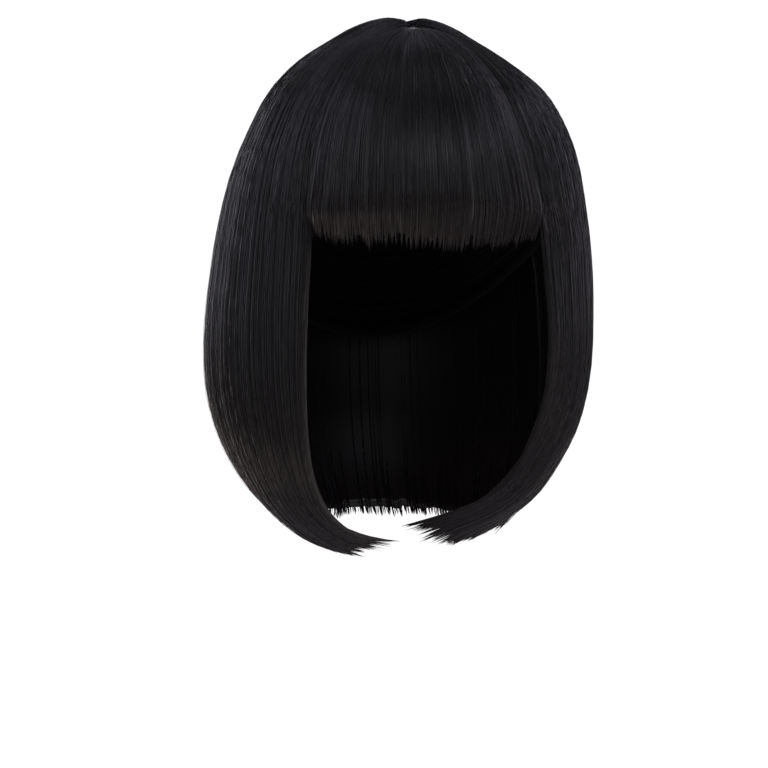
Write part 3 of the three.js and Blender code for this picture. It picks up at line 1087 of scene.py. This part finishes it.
def addCap():
    netCloth = makeCloth("cap net")
    tapeCloth = makeCloth("cap tape")
    around = cap["around"]
    full = 2 * math.pi

    work = bmesh.new()
    bentGrid(work, around, cap["rows"], lambda i, j: capPoint(
        full * i / around % full, j / cap["rows"], cap["netOut"])[0])
    net = addPiece("cap_net", finishMesh(work, "cap_net"), netCloth, "cap", "wig_cap")
    wall = net.modifiers.new("wall", "SOLIDIFY")
    wall.thickness = cap["netWall"]
    wall.offset = 0

    fold = np.array(cap["bandFold"])

    def bandPlace(i, j):
        turn = full * i / around % full
        up, out = fold[j.astype(int) % len(fold)].T
        return capPoint(turn, 1 + up * cap["bandWidth"] / capLength(turn), out)[0]

    work = bmesh.new()
    bentGrid(work, around, len(fold), bandPlace)
    addPiece("cap_band", finishMesh(work, "cap_band"), tapeCloth, "cap", "wig_cap")

    work = bmesh.new()
    for row in range(cap["weftRows"]):
        share = cap["weftFrom"] + cap["weftSpan"] * row / (cap["weftRows"] - 1)

        def weftPlace(i, j):
            turn = full * i / around % full
            roll = full * j / cap["weftSides"]
            down = share + cap["weftRadius"] * cap["weftWide"] * np.cos(roll) / capLength(turn)
            return capPoint(turn, down, cap["weftOut"] + cap["weftRadius"] * np.sin(roll))[0]

        bentGrid(work, around, cap["weftSides"], weftPlace)
    addPiece("cap_wefts", finishMesh(work, "cap_wefts"), tapeCloth, "cap", "wig_cap")
    print("cap made")


addCap()


# Stage: a pale floor, a white surround and soft lights
stage = {
    "floorHeight": -0.45,
    "floorRadius": 0.62,
    "floorColour": (0.95, 0.91, 0.89, 1),
    "floorShade": (0.92, 0.88, 0.86, 1),
    "floorFade": (0.25, 0.6),
    "surround": 0.135,  # light that it gives to the wig
    "background": 1.05,  # as the camera sees it
}


def addFloor():
    work = bmesh.new()
    bmesh.ops.create_circle(work, cap_ends=True, segments=96, radius=stage["floorRadius"])
    bmesh.ops.translate(work, verts=work.verts, vec=(0, 0, stage["floorHeight"]))
    mesh = bpy.data.meshes.new("floor")
    work.to_mesh(mesh)
    work.free()
    material = bpy.data.materials.new("floor")
    material.use_nodes = True
    tree = material.node_tree
    place = tree.nodes.new("ShaderNodeTexCoord").outputs["Object"]
    noise = addNode(tree, "ShaderNodeTexNoise", Vector=place, Scale=6.0)
    colour = addMix(tree, noise.outputs["Fac"], stage["floorColour"], stage["floorShade"])
    shader = tree.nodes["Principled BSDF"]
    tree.links.new(colour, shader.inputs["Base Color"])
    shader.inputs["Roughness"].default_value = 0.9
    # the floor fades into the white surround
    away = addNode(tree, "ShaderNodeVectorMath", i0=place)
    away.inputs[1].default_value = (1, 1, 0)
    away.operation = "MULTIPLY"
    far = addNode(tree, "ShaderNodeVectorMath", i0=away.outputs[0])
    far.operation = "LENGTH"
    fade = addRange(tree, far.outputs["Value"], *stage["floorFade"], 1, 0)
    fade.interpolation_type = "SMOOTHSTEP"
    under = tree.nodes.new("ShaderNodeNewGeometry").outputs["Backfacing"]
    over = addMath(tree, "SUBTRACT", 1.0, under)
    shown = addMath(tree, "MULTIPLY", fade.outputs[0], over)
    tree.links.new(shown, shader.inputs["Alpha"])
    mesh.materials.append(material)
    floor = bpy.data.objects.new("floor", mesh)
    bpy.context.scene.collection.objects.link(floor)


def addSurround():
    world = bpy.data.worlds.new("surround")
    bpy.context.scene.world = world
    world.use_nodes = True
    tree = world.node_tree
    seen = tree.nodes.new("ShaderNodeLightPath").outputs["Is Camera Ray"]
    brighter = stage["background"] - stage["surround"]
    strength = addMath(tree, "MULTIPLY_ADD", seen, brighter, stage["surround"])
    ground = tree.nodes["Background"]
    ground.inputs["Color"].default_value = (1, 1, 1, 1)
    tree.links.new(strength, ground.inputs["Strength"])


def addLight(name, place, target, size, power, colour=(1, 1, 1)):
    data = bpy.data.lights.new(name, "AREA")
    data.shape = "RECTANGLE"
    data.size, data.size_y = size
    data.energy = power
    data.color = colour
    light = bpy.data.objects.new(name, data)
    bpy.context.scene.collection.objects.link(light)
    light.location = place
    away = Vector(target) - Vector(place)
    light.rotation_euler = away.to_track_quat("-Z", "Y").to_euler()
    light.visible_camera = False


addFloor()
addSurround()
addLight("key high", (0.4, -1.7, 1.15), (0, -0.1, -0.06), (1.6, 0.35), 3.9, (0.82, 0.83, 1))
addLight("key", (0.4, -1.7, 0.85), (0, -0.1, -0.06), (1.6, 0.35), 2.8, (0.87, 0.88, 1))
addLight("top", (0, -0.5, 1.8), (0, 0, 0), (1.4, 1.2), 2.2, (0.8, 0.86, 1))
addLight("left back", (-1.45, 1.25, 0.5), (0, 0, -0.05), (1.1, 1.1), 4.4, (0.79, 0.76, 1))
addLight("left", (-1.8, 0.3, 0.1), (0, 0, -0.05), (0.8, 1.2), 2.6, (0.92, 0.95, 1))
addLight("right back", (1.45, 0.9, 0.45), (0, 0, -0.1), (1.1, 1.1), 3.8, (0.88, 0.8, 1))
addLight("front right", (1.6, -0.9, 0.3), (0, 0, -0.1), (0.8, 1), 1.7, (0.96, 0.98, 0.95))
addLight("low right", (1.5, -1.1, -0.5), (0.1, 0, -0.2), (0.8, 0.9), 3.4, (1, 0.85, 0.84))
addLight("behind", (0, 1.9, 0.3), (0, 0, -0.1), (2.6, 0.8), 12, (0.94, 0.92, 1))
addLight("low behind", (0, 1.9, -0.5), (0, 0, -0.1), (2.6, 0.8), 10.5, (1, 0.84, 0.8))
addLight("above", (0.2, 1, 1.7), (0, 0, 0), (1.2, 1), 1.4, (0.74, 0.72, 1))
addLight("below", (-1.2, -0.5, -1.1), (0, 0, -0.2), (1.6, 1.1), 8.7, (1, 0.82, 0.75))
bpy.context.scene.view_settings.view_transform = "Standard"
print("stage lit")
